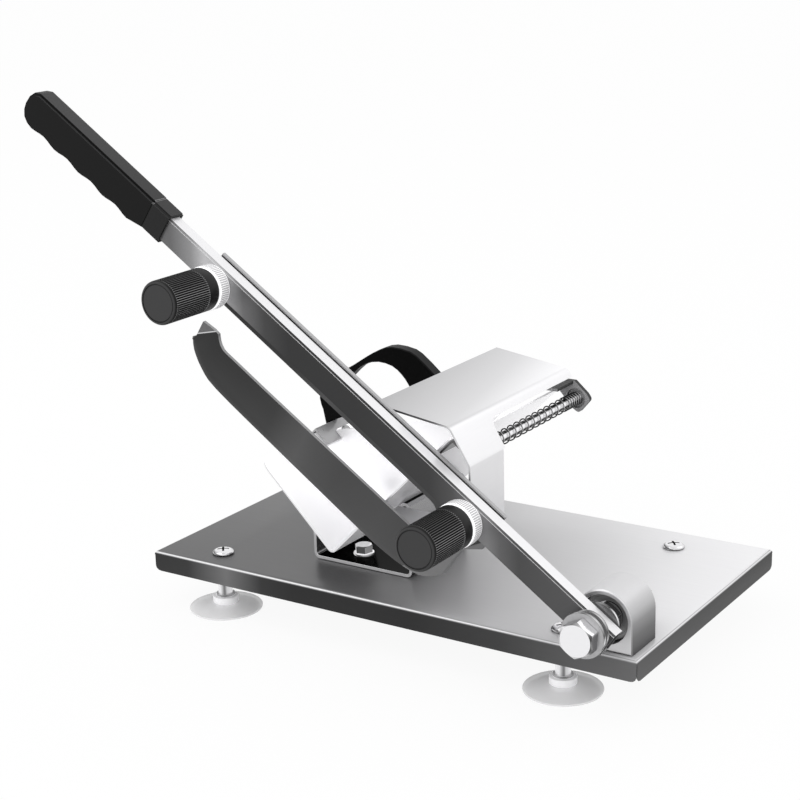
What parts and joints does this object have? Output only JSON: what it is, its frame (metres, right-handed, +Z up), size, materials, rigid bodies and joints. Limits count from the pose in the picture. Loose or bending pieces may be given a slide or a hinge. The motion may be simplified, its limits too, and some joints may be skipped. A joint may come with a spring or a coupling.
{
  "type": "hand lever meat slicer",
  "caption": "Hand lever slicer: hooked blade on a pivoting lever, V trough with sprung feed pusher and hood, on a folded tray with suction feet.",
  "frame": {"origin": "middle of the underside of the slicer's box, on the plane that the suction cups stand on", "axes": "+X along the tray's long side, from the handle's end towards the pivot, -Y towards the operator, +Z up"},
  "size_m": [0.4034, 0.252, 0.3215],
  "materials": {
    "brushed_steel": "brushed",
    "satin_steel": "satin",
    "polished_steel": "polished",
    "blade_steel": "dark satin",
    "satin_aluminium": "satin",
    "chrome": "bright",
    "dark_cast": "satin",
    "black_plastic": "moulded",
    "clear_cup": "clear, soft"
  },
  "bodies": {
    "base": {"base_tray": "brushed_steel", "block_screw_front": "chrome", "block_screw_rear": "chrome", "bracket_bolt_front": "chrome", "bracket_bolt_rear": "chrome", "bracket_nut_front": "chrome", "bracket_nut_rear": "chrome", "bracket_washer_front": "chrome", "bracket_washer_rear": "chrome", "foot_post_front_left": "chrome", "foot_post_front_right": "chrome", "foot_post_rear_left": "chrome", "foot_post_rear_right": "chrome", "foot_screw_front_left": "chrome", "foot_screw_front_right": "chrome", "foot_screw_rear_left": "chrome", "foot_screw_rear_right": "chrome", "guide_rod": "chrome", "hood": "satin_steel", "pivot_bearing_front": "chrome", "pivot_bearing_rear": "chrome", "pivot_block": "satin_aluminium", "return_spring": "chrome", "rod_holder": "satin_steel", "rod_nut": "chrome", "suction_cup_front_left": "clear_cup", "suction_cup_front_right": "clear_cup", "suction_cup_rear_left": "clear_cup", "suction_cup_rear_right": "clear_cup", "trough": "satin_steel", "trough_bracket": "polished_steel", "trough_nut_left": "chrome", "trough_nut_right": "chrome", "trough_screw_left": "chrome", "trough_screw_right": "chrome"},
    "lever": {"lever_tube": "brushed_steel", "handle_collar": "black_plastic", "handle_grip": "black_plastic", "blade": "blade_steel", "pivot_bolt": "chrome", "pivot_washer_front": "chrome", "pivot_spring_washer": "chrome", "pivot_washer_head": "chrome", "pivot_washer_back": "chrome", "pivot_washer_rear": "chrome", "pivot_jam_nut": "chrome", "pivot_rear_nut": "chrome", "stud_lower": "chrome", "stud_upper": "chrome"},
    "lower_knob": {"knob_lower": "black_plastic"},
    "upper_knob": {"knob_upper": "black_plastic"},
    "lower_lock_ring": {"lock_ring_lower": "chrome"},
    "upper_lock_ring": {"lock_ring_upper": "chrome"},
    "pusher": {"feed_slide": "dark_cast", "pusher_arm": "satin_steel", "pusher_plate": "satin_steel", "pusher_handle": "black_plastic", "pusher_saddle": "satin_steel", "saddle_screw": "chrome"}
  },
  "joints": [
    {"name": "lever_pivot", "type": "hinge", "parent": "base", "child": "lever", "pos_m": [0.18008, -0.064, 0.0543], "axis": [0, 1, 0], "range_deg": [-28, 45]},
    {"name": "feed", "type": "slide", "parent": "base", "child": "pusher", "axis": [0, 1, 0], "range_m": [-0.055, 0], "stiffness_N_per_m": 1100, "springref_m": 0.01, "deforming": ["return_spring"]},
    {"name": "knob_lower_turn", "type": "hinge", "parent": "lever", "child": "lower_knob", "pos_m": [0.10266, -0.064, 0.10182], "axis": [0, -1, 0], "continuous": true},
    {"name": "knob_upper_turn", "type": "hinge", "parent": "lever", "child": "upper_knob", "pos_m": [-0.06284, -0.064, 0.21642], "axis": [0, -1, 0], "continuous": true},
    {"name": "lock_ring_lower_turn", "type": "hinge", "parent": "lever", "child": "lower_lock_ring", "pos_m": [0.10266, -0.064, 0.10182], "axis": [0, -1, 0], "continuous": true},
    {"name": "lock_ring_upper_turn", "type": "hinge", "parent": "lever", "child": "upper_lock_ring", "pos_m": [-0.06284, -0.064, 0.21642], "axis": [0, -1, 0], "continuous": true}
  ]
}
